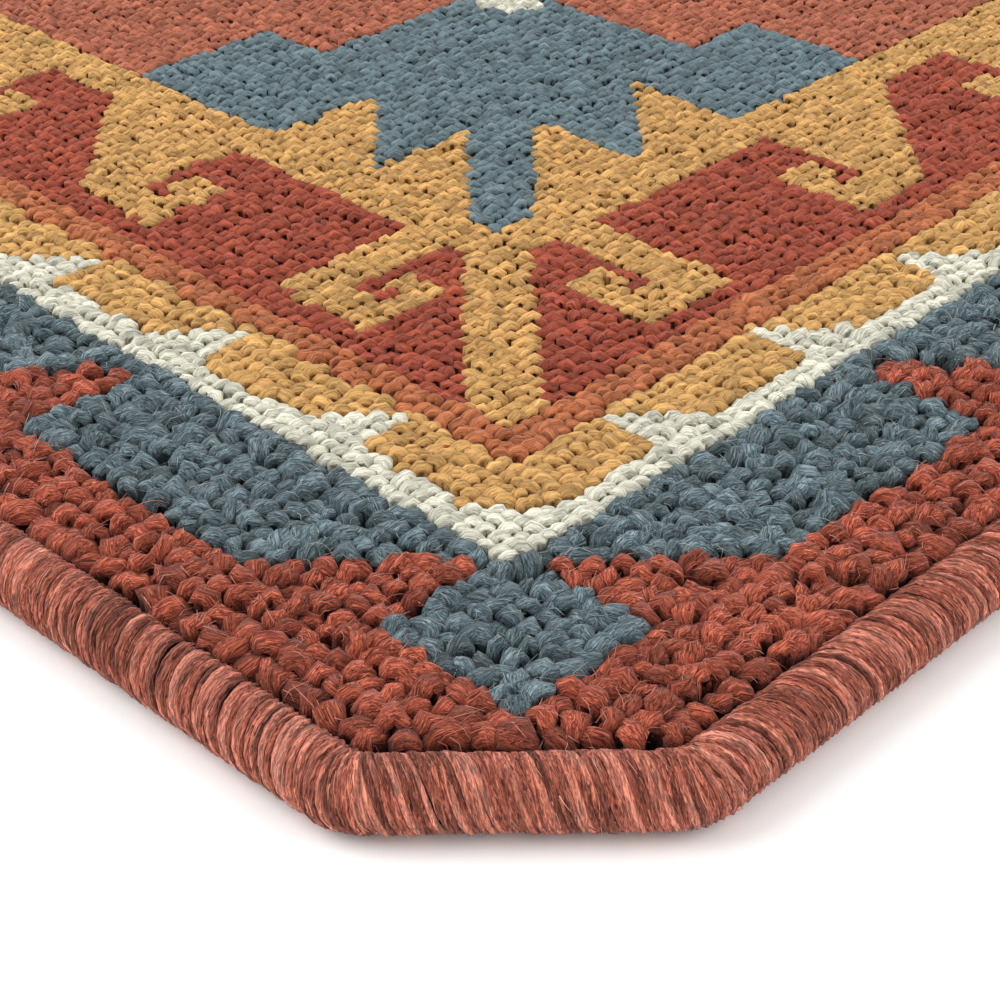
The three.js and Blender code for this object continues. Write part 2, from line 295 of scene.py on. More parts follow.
# Dyed wool yarn: fibre streaks run along each strand, and every strand has a tone of its own. The streaks
# are partly the wool's own mix of fibres and partly painted light: darker in the grooves of the relief,
# with a painted highlight on the palest fibres. The foot of a loop is darkened with painted shade.
wool = {
    "sheen": 0.3,
    "sheenRoughness": 0.5,
    "sheenTint": Vector((0.3, 0.3, 0.3)),       # added to half of the dye
    "specular": 0.2,
    # The palest fibres gain a painted highlight, paler and greyer than the dye; the ply shares darken the
    # dye where the ply relief dips, partly painted shade.
    "fibreHighlight": Vector((0.1, 0.075, 0.06)),     # what the palest fibres gain
    "plies": ((0.32, 0.62), (0.6, 1.1)),        # place in the noise, share of the dye
    "roughness": ((0.3, 0.98), (0.7, 0.72)),
    "bumpDepth": 0.35 * mm,
    "bumpStrength": 1.0,
    "fibreShare": 0.4,                          # of the bump; the plies make the rest
    "plyShare": 0.6,
}
# fibre and ply are streaks across per metre, and along is how much slower they change along the yarn.
# The rest are shares of the dye: darkest and palest fibre, which carry painted shade and a painted
# highlight, darkest and palest strand, and foot, the painted shade at the foot of a loop.
# undyed is how far the palest strand turns to the colour of bare wool.
spinning = {
    "bulky": {
        "fibre": 4700, "ply": 1000, "along": 0.14,
        "fibres": (0.18, 2.1), "strands": (0.6, 1.25), "foot": 0.08, "undyed": 0,
    },
    "fine": {
        "fibre": 2800, "ply": 1000, "along": 0.16,
        "fibres": (0.55, 1.3), "strands": (0.82, 1.12), "foot": 0.8, "undyed": 0,
    },
    "rim": {
        "fibre": 2700, "ply": 1000, "along": 0.1,
        "fibres": (0.15, 2.1), "strands": (0.42, 1.6), "foot": 1, "undyed": 0.12,
    },
    "wisp": {
        "fibre": 1500, "ply": 500, "along": 0.2,
        "fibres": (0.9, 1.2), "strands": (0.5, 2.3), "foot": 1, "undyed": 0.36,
    },
}
bareWool = (0.72, 0.62, 0.52, 1)
yarnColours = {
    "rim_yarn": (150, 77, 58),
    "rust_yarn": (150, 68, 46),
    "blue_yarn": (86, 105, 112),
    "blue_yarn fine": (101, 120, 127),      # the fine pile's blue is the paler dye lot
    "ivory_yarn": (214, 212, 195),
    "gold_yarn": (201, 156, 94),
    "orange_yarn": (176, 104, 66),
    "brick_yarn": (157, 74, 53),
    "field_yarn": (171, 100, 75),
}


def yarnMaterial(name, card, spin):
    made, tree, shader = newMaterial(name)
    grain = addNode(tree, "ShaderNodeAttribute", attribute_name="grain").outputs["Vector"]
    tone = addNode(tree, "ShaderNodeAttribute", attribute_name="tone").outputs["Fac"]
    height = addNode(tree, "ShaderNodeAttribute", attribute_name="height").outputs["Fac"]
    fibre = noise(tree, grain, spin["fibre"], (1, 1, spin["along"]), 2, 0.6, 1.2)
    ply = noise(tree, grain, spin["ply"], (1, 1, spin["along"]), 2, 0.5)
    base = Vector(linear(*card)[:3])
    darkest, palest = spin["fibres"]
    fibreHighlight = wool["fibreHighlight"] * (palest - 1)
    dark = (*(base * darkest), 1)
    pale = (*(base * palest + fibreHighlight), 1)
    # fibre and ply colours follow the bump relief: partly the wool's own streaks, partly painted shade in
    # the grooves and a painted highlight on the palest fibres
    hue = ramp(tree, fibre, (0.34, dark), (0.5, (*base, 1)), (0.7, pale))
    hue = mix(tree, "MULTIPLY", 1.0, hue, ramp(tree, ply, *wool["plies"]))
    darkest, palest = spin["strands"]
    hue = mix(tree, "MULTIPLY", 1.0, hue, ramp(tree, tone, (0, darkest), (0.5, 1), (1, palest)))
    if spin["undyed"]:
        hue = mix(tree, "MIX", ramp(tree, tone, (0.5, 0), (1, spin["undyed"])), hue, bareWool)
    # painted shade: the colour darkens towards the foot of each loop, where the loops shade each other
    hue = mix(tree, "MULTIPLY", 1.0, hue, ramp(tree, height, (0.4, spin["foot"]), (0.86, 1.0)))
    link(tree, hue, shader.inputs["Base Color"])
    link(tree, ramp(tree, fibre, *wool["roughness"]), shader.inputs["Roughness"])
    fibreRelief = sums(tree, "MULTIPLY", fibre, wool["fibreShare"])
    plyRelief = sums(tree, "MULTIPLY", ply, wool["plyShare"])
    relief = sums(tree, "ADD", fibreRelief, plyRelief)
    bump = addNode(tree, "ShaderNodeBump")
    bump.inputs["Distance"].default_value = wool["bumpDepth"]
    bump.inputs["Strength"].default_value = wool["bumpStrength"]
    link(tree, relief, bump.inputs["Height"])
    link(tree, bump.outputs[0], shader.inputs["Normal"])
    shader.inputs["Sheen Weight"].default_value = wool["sheen"]
    shader.inputs["Sheen Roughness"].default_value = wool["sheenRoughness"]
    shader.inputs["Sheen Tint"].default_value = (*(base * 0.5 + wool["sheenTint"]), 1)
    shader.inputs["Specular IOR Level"].default_value = wool["specular"]
    return made


# Cloth, latex, cord and backing: a flecked surface by place on the rug. flecks is how many a metre.
plainGoods = {
    # The cord's brown is partly its own colour and partly painted shade, kept dark for the gaps between the
    # serging's wraps.
    "cord": {"card": (92, 54, 40), "flecks": 900, "roughness": 0.9},
    "cloth": {"card": (196, 184, 158), "flecks": 1200, "roughness": 0.95},
    "latex": {"card": (214, 206, 186), "flecks": 300, "roughness": 0.6},
    "backing": {"card": (184, 170, 142), "flecks": 700, "roughness": 0.95},
}
plainFinish = {"clouds": 14, "bumpDepth": 0.3 * mm, "bumpStrength": 0.6, "specular": 0.25}


def plainMaterial(name, goods):
    made, tree, shader = newMaterial(name)
    place = addNode(tree, "ShaderNodeTexCoord").outputs["Object"]
    fleck = noise(tree, place, goods["flecks"], (1, 1, 1), 4, 0.6)
    cloud = noise(tree, place, plainFinish["clouds"], (1, 1, 1), 3, 0.5)
    base = Vector(linear(*goods["card"])[:3])
    rough = goods["roughness"]
    hue = ramp(tree, fleck, (0.3, (*(base * 0.7), 1)), (0.7, (*(base * 1.05), 1)))
    hue = mix(tree, "MULTIPLY", 1.0, hue, ramp(tree, cloud, (0.3, 0.86), (0.7, 1.04)))
    link(tree, hue, shader.inputs["Base Color"])
    dullness = ramp(tree, fleck, (0.3, min(1, rough + 0.05)), (0.7, rough - 0.12))
    link(tree, dullness, shader.inputs["Roughness"])
    bump = addNode(tree, "ShaderNodeBump")
    bump.inputs["Distance"].default_value = plainFinish["bumpDepth"]
    bump.inputs["Strength"].default_value = plainFinish["bumpStrength"]
    link(tree, fleck, bump.inputs["Height"])
    link(tree, bump.outputs[0], shader.inputs["Normal"])
    shader.inputs["Specular IOR Level"].default_value = plainFinish["specular"]
    return made


materials = {}


# The material for a slot, made the first time that it is needed; yarn has one for each way it is spun.
def materialFor(slot, spin=None):
    if (slot, spin) not in materials:
        if spin:
            card = yarnColours.get(f"{slot} {spin}", yarnColours[slot])
            materials[slot, spin] = yarnMaterial(f"{slot}_{spin}", card, spinning[spin])
        else:
            materials[slot, spin] = plainMaterial(slot, plainGoods[slot])
    return materials[slot, spin]


def finishPiece(piece, slot, *replaced, spin=None):
    piece.data.materials.append(materialFor(slot, spin))
    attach(piece, "root")
    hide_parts(*replaced)
    return piece


# Loops. archFrom is where the arch starts, in degrees; span and rise are half its width and its height.
# legWidth is a share of the width, lobe is how deep the plies show, and twist is radians per metre.
fineLoop = {
    "spin": "fine", "sides": 4, "archFrom": 152, "archSteps": 2,
    "span": 0.98 * mm, "rise": 0.85 * mm, "width": 1.4 * mm, "legWidth": 0.95,
    "legThick": 1.25 * mm, "crownThick": 1.1 * mm, "lobe": 0,
    "sizeSpread": 0.12, "heightSpread": 0.3 * mm, "lean": 0.3 * mm, "wander": 0.18 * mm,
    "heading": 45, "turnSpread": 22, "twist": 260, "twistSpread": 60,
}
# the narrow bands beside the bulky rows are worked in rounder loops
bandLoop = {**fineLoop, "sides": 5, "archSteps": 3, "archFrom": 160, "width": 1.5 * mm}
bulkyLoop = {
    "spin": "bulky", "sides": 7, "archFrom": 168, "archSteps": 4,
    "span": 1.36 * mm, "rise": 1.3 * mm, "width": 1.85 * mm, "legWidth": 0.85,
    "legThick": 1.5 * mm, "crownThick": 1.35 * mm, "lobe": 0.2,
    "sizeSpread": 0.15, "heightSpread": 0.6 * mm, "lean": 0.6 * mm, "wander": 0.4 * mm,
    "heading": 45, "turnSpread": 34, "twist": 420, "twistSpread": 160,
}
# how far single rings of a loop stray from its width and thickness, and how far its foot is in the cloth
handWork = {"widthSpread": 0.08, "thickSpread": 0.07, "footDepth": 0.6 * mm}
# the rows along the rim, which lean out over it
outerRows = {
    "deep": 7 * mm, "bigger": 0.28, "sizeSpread": 0.12, "overhang": 2.8 * mm, "droop": 1.3 * mm,
    "messy": 0.9 * mm,
}


# Shapes every loop in one go: two legs and an arch. at is (loops, 2).
def loopPoints(kind, at):
    count = len(at)
    sides = kind["sides"]
    heading = np.radians(kind["heading"] + kind["turnSpread"] * chance.standard_normal(count).clip(-2, 2))
    atRim = (1 - depthInside(at, pileInset) / outerRows["deep"]).clip(0, 1)
    arch = np.radians(np.linspace(kind["archFrom"], 180 - kind["archFrom"], kind["archSteps"] + 1))
    size = 1 + kind["sizeSpread"] * chance.standard_normal(count).clip(-2, 2) + outerRows["bigger"] * atRim
    uneven = outerRows["sizeSpread"] * atRim * chance.standard_normal(count).clip(-2, 2)
    size = (size * (1 + uneven))[:, None]
    span = kind["span"] * size
    rise = kind["rise"] * size
    top = pileTop + kind["heightSpread"] * (chance.standard_normal((count, 1)).clip(-2, 1.3) - 0.5)
    top = top - outerRows["droop"] * atRim[:, None]
    centre = top - rise - kind["crownThick"] * size
    foot = clothTop - handWork["footDepth"]

    along = np.concatenate([-span, span * np.cos(arch), span], 1)
    feet = np.full((count, 1), foot)
    up = np.concatenate([feet, centre + rise * np.sin(arch), feet], 1)
    normalTurn = np.concatenate([[math.pi], arch, [0]])    # the section's outer side, turned over the arch
    crown = np.concatenate([[0], np.sin(arch), [0]])
    thick = (kind["legThick"] + (kind["crownThick"] - kind["legThick"]) * crown) * size
    width = kind["width"] * size * (kind["legWidth"] + (1 - kind["legWidth"]) * crown)
    width = width * (1 + handWork["widthSpread"] * chance.standard_normal(width.shape))
    thick = thick * (1 + handWork["thickSpread"] * chance.standard_normal(thick.shape))

    lift = ((up - foot) / (pileTop - foot)).clip(0, 1)
    sway = kind["wander"] * chance.standard_normal(along.shape) * crown
    lean = kind["lean"] * chance.standard_normal((count, 2)).clip(-1.8, 1.8)
    lean = lean + outerRows["overhang"] * atRim[:, None] * outwardAt(at)
    lean = lean + outerRows["messy"] * atRim[:, None] * chance.standard_normal((count, 2)).clip(-1.6, 1.6)

    turn = 2 * math.pi * np.arange(sides) / sides
    reach = np.cumsum(np.hypot(np.diff(along, axis=1, prepend=along[:, :1]),
                               np.diff(up, axis=1, prepend=up[:, :1])), 1)
    start = chance.uniform(0, 2 * math.pi, (count, 1))
    roll = start + (kind["twist"] + kind["twistSpread"] * chance.standard_normal((count, 1))) * reach
    bulge = 1 + kind["lobe"] * np.cos(3 * (turn[None, None] - roll[..., None]))
    outer = thick[..., None] * np.cos(turn) * bulge
    sideways = width[..., None] * np.sin(turn) * bulge + sway[..., None]

    ahead = along[..., None] + outer * np.cos(normalTurn)[None, :, None]
    z = up[..., None] + outer * np.sin(normalTurn)[None, :, None]
    cos = np.cos(heading)[:, None, None]
    sin = np.sin(heading)[:, None, None]
    x = at[:, 0, None, None] + ahead * cos - sideways * sin + lean[:, 0, None, None] * lift[..., None] ** 2
    y = at[:, 1, None, None] + ahead * sin + sideways * cos + lean[:, 1, None, None] * lift[..., None] ** 2
    points = np.stack([x, y, z], -1)

    spin = turn[None, None] - roll[..., None]
    radius = np.hypot(outer, width[..., None] * np.sin(turn))
    away = chance.uniform(-1, 1, (count, 1, 1, 3))
    grain = np.stack([radius * np.cos(spin), radius * np.sin(spin),
                      np.broadcast_to(reach[..., None], radius.shape)], -1) + away
    tone = np.broadcast_to(chance.uniform(0, 1, (count, 1, 1)), radius.shape)
    # height sets the painted shade at the foot of each loop
    height = ((z - clothTop) / (pileTop - clothTop)).clip(0, 1)
    return points, grain, tone, height


# how evenly the loops are set, and the least room for a bulky loop beside a cut corner, in half rows
setting = {"fineSpread": 0.16 * mm, "bulkySpread": 0.25 * mm, "leastRoom": 0.45}
# how near a loop may stand to another colour
keepOff = {"fine": 1.0 * mm, "bulky": 1.7 * mm}


# Where the loops stand: a fine grid inside the ivory line, and bulky rows round it.
def fineGrid():
    spread = []
    for half in (halfWidth, halfLength):
        reach = half - rug["ivoryLine"] * rug["stitch"]
        count = round(reach / (rug["stitch"] * rug["fineStitch"]))
        spread.append((np.arange(-count, count) + 0.5) * reach / count)
    places = np.stack(np.meshgrid(*spread), -1).reshape(-1, 2)
    return places + chance.normal(0, setting["fineSpread"], places.shape)


def bulkyGrid():
    band = rug["ivoryLine"] * rug["stitch"] - pileInset
    pitch = band / rug["bulkyRows"]
    spread = []
    for half in (halfWidth, halfLength):
        count = round((half - pileInset) / pitch)
        spread.append(half - pileInset - (np.arange(count) + 0.5) * (half - pileInset) / count)
    x, y = np.meshgrid(*spread)
    inBand = (x > halfWidth - pileInset - band) | (y > halfLength - pileInset - band)
    quarter = np.stack([x[inBand], y[inBand]], -1)
    places = np.concatenate([quarter * (a, b) for a in (1, -1) for b in (1, -1)])
    places = places + chance.normal(0, setting["bulkySpread"], places.shape)
    edge = pitch / 2
    depth = depthInside(places, pileInset)
    fits = depth > edge * setting["leastRoom"]
    places, depth = places[fits], depth[fits]
    return places - outwardAt(places) * (edge - depth).clip(0, None)[:, None]


# The colour area that each point is in: the pile's CAD nodes say it.
def makeAreaFinder():
    corners, faces, owner = [], [], []
    for number, name in enumerate(pileNodes):
        mesh = nodes[name].data
        mesh.calc_loop_triangles()
        start = len(corners)
        corners.extend(v.co.copy() for v in mesh.vertices)
        for triangle in mesh.loop_triangles:
            lowest = min(mesh.vertices[i].co.z for i in triangle.vertices)
            if triangle.normal.z > 0.9 and lowest > pileTop - mm:
                faces.append([start + i for i in triangle.vertices])
                owner.append(number)
    tree = BVHTree.FromPolygons(corners, faces)
    return lambda spot: owner[tree.find_nearest(Vector((spot[0], spot[1], pileTop)))[2]]


areaAt = makeAreaFinder()
tieStep = 0.4 * mm      # a stitch halved by a diagonal goes to the same colour on both sides of the rug


def areasOf(places):
    toward = places - np.sign(places) * (tieStep, 0)
    return np.array([areaAt(spot) for spot in toward])


# A loop too near another colour is moved in to the distance keep, which keeps the lines clean.
def settle(places, areas, keep):
    ring = 2 * math.pi * np.arange(8) / 8
    inward = np.zeros_like(places)
    for offset in keep * np.stack([np.cos(ring), np.sin(ring)], -1):
        inward += offset * (areasOf(places + offset) == areas)[:, None]
    size = np.linalg.norm(inward, axis=1)
    near = size > 0.2 * keep
    start = places[near]
    inward = inward[near] / size[near, None]
    distance = np.full(len(start), keep)
    for step in keep * np.arange(5, -1, -1) / 6:
        other = areasOf(start - inward * step) != areas[near]
        distance[other] = step
    moved = places.copy()
    moved[near] += inward * (keep - distance)[:, None]
    return moved


# Fibres that have worked loose: some lie along their loop, and a few stray over the pile.
# run is in rings of the loop, side and drift are in its sides, and lift is a share of its thickness.
wisps = {
    "perLoop": 6, "radius": 0.095 * mm, "steps": 3, "taper": 0.6, "offSkin": 1.04,
    "run": (0.9, 2.4), "side": (-2.2, 2.2), "drift": (-1.4, 2.4), "lift": (0.1, 0.8),
}
# often and moreAtRim are how many loops have one, in the middle and at the rim
strays = {
    "often": 0.3, "moreAtRim": 0.7, "radius": 0.05 * mm, "length": (2.5 * mm, 6 * mm), "steps": 5,
    "climb": (0.0, 0.25), "bend": (-0.7, 0.7), "depth": 0.6 * mm, "depthAtRim": 1.6 * mm,
    "arch": (0.3 * mm, 0.8 * mm), "archSpread": (0.5, 1.4),
}
maxTriangles = 190000      # in one piece


# Single fibres: thin three-sided tubes along the given paths, (fibres, steps, 3), fine at the far end.
def fibreMesh(name, paths, radius, slot):
    count, steps, _ = paths.shape
    ahead = np.gradient(paths, axis=1)
    side = np.cross(ahead, chance.standard_normal((count, 1, 3)))
    side /= np.maximum(np.linalg.norm(side, axis=2, keepdims=True), 1e-12)
    third = np.cross(ahead, side)
    third /= np.maximum(np.linalg.norm(third, axis=2, keepdims=True), 1e-12)
    turn = (2 * math.pi * np.arange(3) / 3)[None, None, :, None]
    around = side[:, :, None] * np.cos(turn) + third[:, :, None] * np.sin(turn)
    taper = radius * (1 - wisps["taper"] * np.linspace(0, 1, steps))[None, :, None, None]
    points = paths[:, :, None] + around * taper
    grain = np.broadcast_to(paths[:, :1, None], points.shape)
    tone = np.broadcast_to(chance.uniform(0, 1, (count, 1, 1)), points.shape[:3])
    made = strandMesh(name, points, grain, tone, np.ones_like(tone))
    return finishPiece(made, slot, spin="wisp")


# Paths on the skin of tubes, (tubes, rings, sides, 3): each starts at a ring and a side, runs on and
# drifts round, and stands a little further off the skin towards its end.
def pathsOnTubes(tubes, which, ring, run, side, drift, lift, steps):
    rings, sides = tubes.shape[1:3]
    t = np.linspace(0, 1, steps)
    ringAt = ring[:, None] + run[:, None] * t
    sideAt = side[:, None] + drift[:, None] * t
    ringLow = np.floor(ringAt).astype(int)
    sideLow = np.floor(sideAt).astype(int)
    pastRing = (ringAt - ringLow)[..., None]
    pastSide = (sideAt - sideLow)[..., None]
    tube = which[:, None]

    def skin(ringStep, sideStep):
        return tubes[tube, (ringLow + ringStep) % rings, (sideLow + sideStep) % sides]

    near = skin(0, 0) * (1 - pastSide) + skin(0, 1) * pastSide
    far = skin(1, 0) * (1 - pastSide) + skin(1, 1) * pastSide
    onSkin = near * (1 - pastRing) + far * pastRing
    middles = tubes.mean(2)
    middle = (middles[tube, ringLow % rings] * (1 - pastRing)
              + middles[tube, (ringLow + 1) % rings] * pastRing)
    return middle + (onSkin - middle) * (wisps["offSkin"] + lift[:, None] * t ** 2)[..., None]


def makeWisps(name, loops, slot):
    count, rings = loops.shape[:2]
    which = np.repeat(np.arange(count), wisps["perLoop"])
    many = len(which)
    run = chance.uniform(*wisps["run"], many)
    ring = 1 + chance.uniform(0, 1, many) * (rings - 3 - run)
    side = chance.uniform(*wisps["side"], many)
    drift = chance.uniform(*wisps["drift"], many)
    lift = chance.uniform(*wisps["lift"], many)
    paths = pathsOnTubes(loops, which, ring, run, side, drift, lift, wisps["steps"])
    fibreMesh(name + "_wisps", paths, wisps["radius"], slot)


def makeStrays(name, loops, slot):
    middle = loops.mean((1, 2))
    atRim = (1 - depthInside(middle, pileInset) / outerRows["deep"]).clip(0, 1)
    chosen = chance.uniform(0, 1, len(loops)) < strays["often"] + strays["moreAtRim"] * atRim
    middle, atRim = middle[chosen], atRim[chosen, None]
    count = len(middle)
    length = chance.uniform(*strays["length"], (count, 1, 1))
    turn = chance.uniform(0, 2 * math.pi, count)
    climb = chance.uniform(*strays["climb"], count)
    ahead = np.stack([np.cos(turn), np.sin(turn), climb], -1)[:, None]
    across = np.stack([-np.sin(turn), np.cos(turn), np.zeros(count)], -1)[:, None]
    t = np.linspace(0, 1, strays["steps"])[None, :, None]
    bend = chance.uniform(*strays["bend"], (count, 1, 1))
    paths = middle[:, None] + length * (ahead * t + across * bend * t ** 2)
    least, more = strays["arch"]
    arch = (least + more * np.sin(math.pi * t[..., 0])) * chance.uniform(*strays["archSpread"], (count, 1))
    paths[..., 2] = pileTop - strays["depth"] - strays["depthAtRim"] * atRim + arch
    fibreMesh(name + "_strays", paths, strays["radius"], slot)


def makeLoops(label, kind, places, areas):
    triangles = 2 * kind["sides"] * (kind["archSteps"] + 2) + 2 * (kind["sides"] - 2)
    perPiece = maxTriangles // triangles
    for number in np.unique(areas):
        name = pileNodes[number]
        slot = slotOfNode[name]
        mine = places[areas == number]
        middle = (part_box(name)[0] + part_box(name)[1]) / 2
        mine = mine[np.argsort(np.arctan2(mine[:, 1] - middle.y, mine[:, 0] - middle.x))]
        pieces = math.ceil(len(mine) / perPiece)
        for part, group in enumerate(np.array_split(mine, pieces)):
            pieceName = f"{name}_{label}_{part + 1}"
            loops, grain, tone, height = loopPoints(kind, group)
            made = strandMesh(pieceName, loops, grain, tone, height)
            finishPiece(made, slot, name, spin=kind["spin"])
            if label == "bulky":
                makeWisps(pieceName, loops, slot)
                makeStrays(pieceName, loops, slot)
    print(label, "loops:", len(places), "of", triangles, "triangles")


places = fineGrid()
areas = areasOf(places)
inBand = depthInside(places, 0) < rug["bandLine"] * rug["stitch"]
places = settle(places, areas, keepOff["fine"])
makeLoops("band", bandLoop, places[inBand], areas[inBand])
makeLoops("fine", fineLoop, places[~inBand], areas[~inBand])
places = bulkyGrid()
areas = areasOf(places)
makeLoops("bulky", bulkyLoop, settle(places, areas, keepOff["bulky"]), areas)


serging = {
    "strands": 10,              # yarns carried side by side
    "advance": 11.5 * mm,       # along the edge for each turn of all of them
    "stepsPerTurn": 14,
    "sides": 5,
    "yarnWidth": 0.7 * mm,
    "yarnThick": 0.6 * mm,
    "unevenness": 0.14 * mm,
    "sunk": 0.16 * mm,          # how deep a tight turn lies
    "fatSpread": 0.12,
    "twist": 300,               # radians per metre
    "toneSpread": (0.24, 0.2),  # of whole turns, and of quarter turns
    "wisps": 16000,
    "wispRadius": 0.1 * mm,
    "wispRun": (0.8, 2),        # in steps of a turn
    "wispSide": (-1.2, 1.2),
    "wispDrift": (-1, 1),
    "wispLift": (0.1, 0.7),
    "leastHeight": 0.5 * mm,    # fibres lower than this would lie in the floor
}


# A random value for each turn of yarn, or for each part of a turn, blended along it.
def perTurn(turns, steps, parts=1):
    values = chance.standard_normal(turns * parts).clip(-2, 2)
    at = np.arange(turns * steps) * parts / steps
    return np.interp(at, np.arange(turns * parts + 1), np.append(values, values[0]))


# Turns of yarn over the top, down the outside and back underneath. They are spaced along the outer
# edge, so they stay close where the edge bends.
def makeSerging():
    radius = rug["rimDiameter"] / 2
    path = outline(0)
    whole = lengthOf(path)
    turns = round(whole / serging["advance"])
    steps = serging["stepsPerTurn"]
    rings = turns * steps
    sides = serging["sides"]
    wrap = radius - serging["yarnThick"]
    ring = 2 * math.pi * np.arange(sides) / sides
    for strand in range(serging["strands"]):
        turn = 2 * math.pi * np.arange(rings) / steps
        share = strand / serging["strands"] / turns
        wander = serging["unevenness"] * (0.6 * perTurn(turns, steps) + perTurn(turns, steps, 3))
        distance = whole * (np.arange(rings) / rings + share) + wander
        edge, outward, ahead = alongPath(path, distance)
        middle = edge - outward * radius
        outAngle = math.pi / 2 - turn
        reach = wrap - serging["sunk"] * (1 + perTurn(turns, steps, 2)).clip(0, 3)
        fat = 1 + serging["fatSpread"] * perTurn(turns, steps, 3)
        radial = reach[:, None] + serging["yarnThick"] * np.cos(ring)[None]
        across = serging["yarnWidth"] * fat[:, None] * np.sin(ring)[None]
        out = radial * np.cos(outAngle)[:, None]
        x = middle[:, 0, None] + outward[:, 0, None] * out + ahead[:, 0, None] * across
        y = middle[:, 1, None] + outward[:, 1, None] * out + ahead[:, 1, None] * across
        z = radius + radial * np.sin(outAngle)[:, None]
        points = np.stack([x, y, z], -1)[None]
        length = np.arange(rings) * 2 * math.pi * wrap / steps
        spin = ring[None] + serging["twist"] * length[:, None]
        size = serging["yarnWidth"]
        grain = np.stack([size * np.cos(spin), size * np.sin(spin),
                          np.broadcast_to(length[:, None], spin.shape)], -1)[None] + strand * 0.37
        wholeTurns, quarterTurns = serging["toneSpread"]
        tone = 0.5 + wholeTurns * perTurn(turns, steps) + quarterTurns * perTurn(turns, steps, 4)
        tone = np.broadcast_to(tone[:, None], spin.shape).clip(0, 1)[None]
        name = f"edge_serging_yarn_{strand + 1}"
        made = strandMesh(name, points, grain, tone, np.ones_like(tone), closed=True, ringsPerCell=steps)
        finishPiece(made, "rim_yarn", "edge_serging", spin="rim")
        many = serging["wisps"] // serging["strands"]
        start = chance.uniform(0, rings, many)
        run = chance.uniform(*serging["wispRun"], many)
        side = chance.uniform(*serging["wispSide"], many)
        drift = chance.uniform(*serging["wispDrift"], many)
        lift = chance.uniform(*serging["wispLift"], many)
        onlyTube = np.zeros(many, int)
        paths = pathsOnTubes(points, onlyTube, start, run, side, drift, lift, wisps["steps"])
        paths = paths[paths[..., 2].min(1) > serging["leastHeight"]]
        fibreMesh(name + "_wisps", paths, serging["wispRadius"], "rim_yarn")
    print("serging:", serging["strands"], "yarns of", turns, "turns")


makeSerging()


# Three strands laid together, which the serging is wound round.
edgeCord = {
    "strands": 3, "lay": 28 * mm, "strandRadius": 1.75 * mm, "layRadius": 2.0 * mm,
    "step": 3.5 * mm, "sides": 8, "grainRadius": 1.7 * mm,
}


def makeCord():
    radius = rug["rimDiameter"] / 2
    path = outline(radius)
    whole = lengthOf(path)
    rings = round(whole / edgeCord["step"])
    turns = round(whole / edgeCord["lay"])
    sides = edgeCord["sides"]
    distance = whole * np.arange(rings) / rings
    middle, outward, ahead = alongPath(path, distance)
    ring = 2 * math.pi * np.arange(sides) / sides
    for strand in range(edgeCord["strands"]):
        lay = 2 * math.pi * (turns * np.arange(rings) / rings + strand / edgeCord["strands"])
        out = edgeCord["layRadius"] * np.cos(lay)[:, None] + edgeCord["strandRadius"] * np.cos(-ring)[None]
        rise = edgeCord["layRadius"] * np.sin(lay)[:, None] + edgeCord["strandRadius"] * np.sin(-ring)[None]
        x = middle[:, 0, None] + outward[:, 0, None] * out
        y = middle[:, 1, None] + outward[:, 1, None] * out
        points = np.stack([x, y, radius + rise], -1)[None]
        spin = ring[None] + lay[:, None]
        size = edgeCord["grainRadius"]
        grain = np.stack([size * np.cos(spin), size * np.sin(spin),
                          np.broadcast_to(distance[:, None], spin.shape)], -1)[None]
        made = strandMesh(f"edge_cord_strand_{strand + 1}", points, grain, np.full(spin.shape, 0.5)[None],
                          np.ones(spin.shape)[None], closed=True, ringsPerCell=24)
        finishPiece(made, "cord", "edge_cord")


makeCord()


# A thin closed sheet inside the outline, from cells of one size, with a basket weave on both faces.
sheets = {
    "secondary_backing": {"slot": "backing", "cell": 4.2 * mm, "weave": 0.16 * mm},
    "primary_backing": {"slot": "cloth", "cell": 6 * mm, "weave": 0.1 * mm},
}


